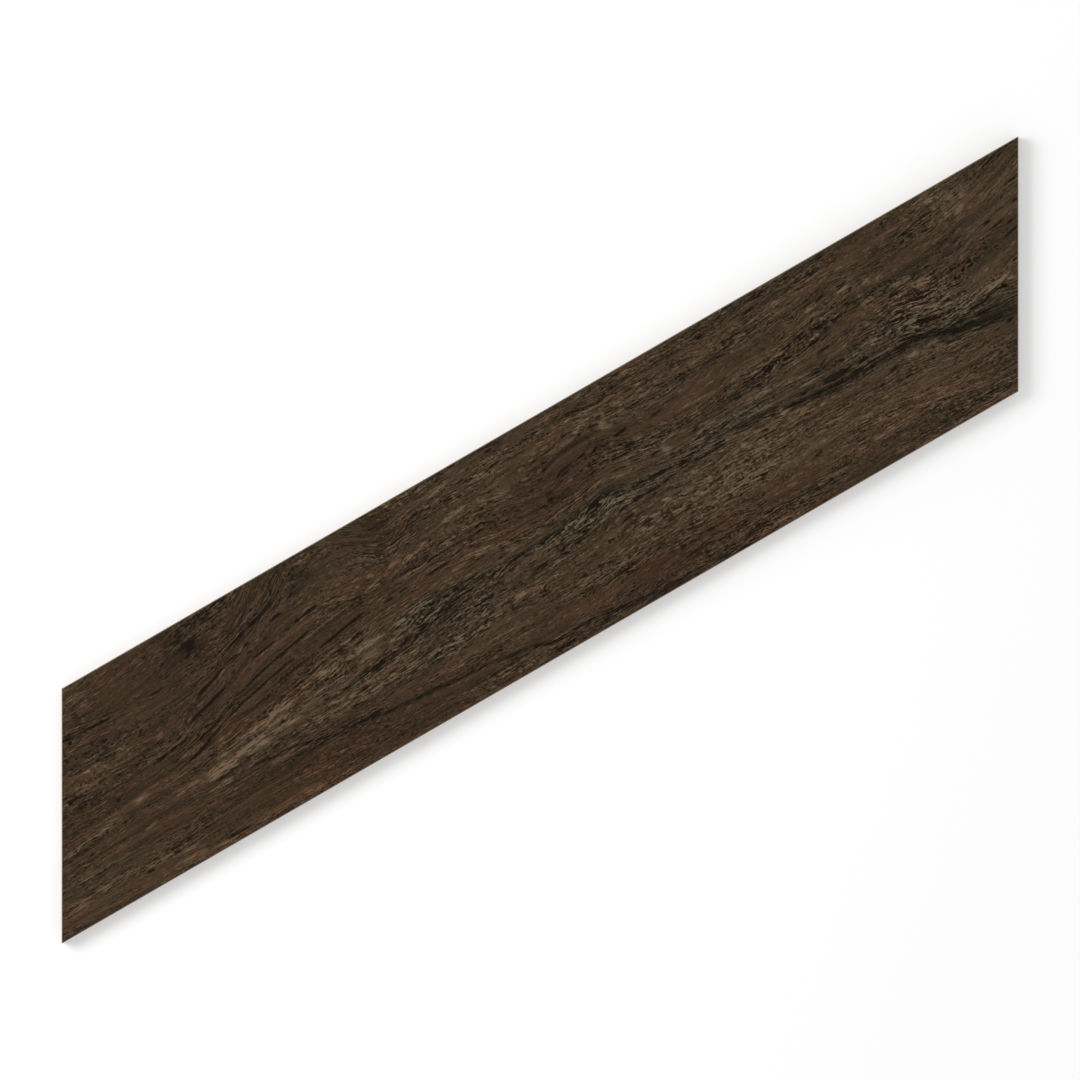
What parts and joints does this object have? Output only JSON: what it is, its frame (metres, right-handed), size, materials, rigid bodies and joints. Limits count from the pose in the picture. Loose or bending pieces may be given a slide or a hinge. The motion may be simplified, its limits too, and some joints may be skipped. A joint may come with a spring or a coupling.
{
  "type": "chevron porcelain tile",
  "caption": "Parallelogram plank of fired porcelain for chevron floors, with a dark wood-look printed face, ground edges, mitred ends and a ribbed back.",
  "frame": {"origin": "centre of the tile's footprint, on the plane of the back's rib crests", "axes": "+X along the plank, +Y across it, +Z out of the printed face"},
  "size_m": [0.6024, 0.108, 0.0095],
  "materials": {
    "porcelain": "matte"
  },
  "bodies": {
    "root": {"chevron_tile": "porcelain"}
  },
  "joints": []
}
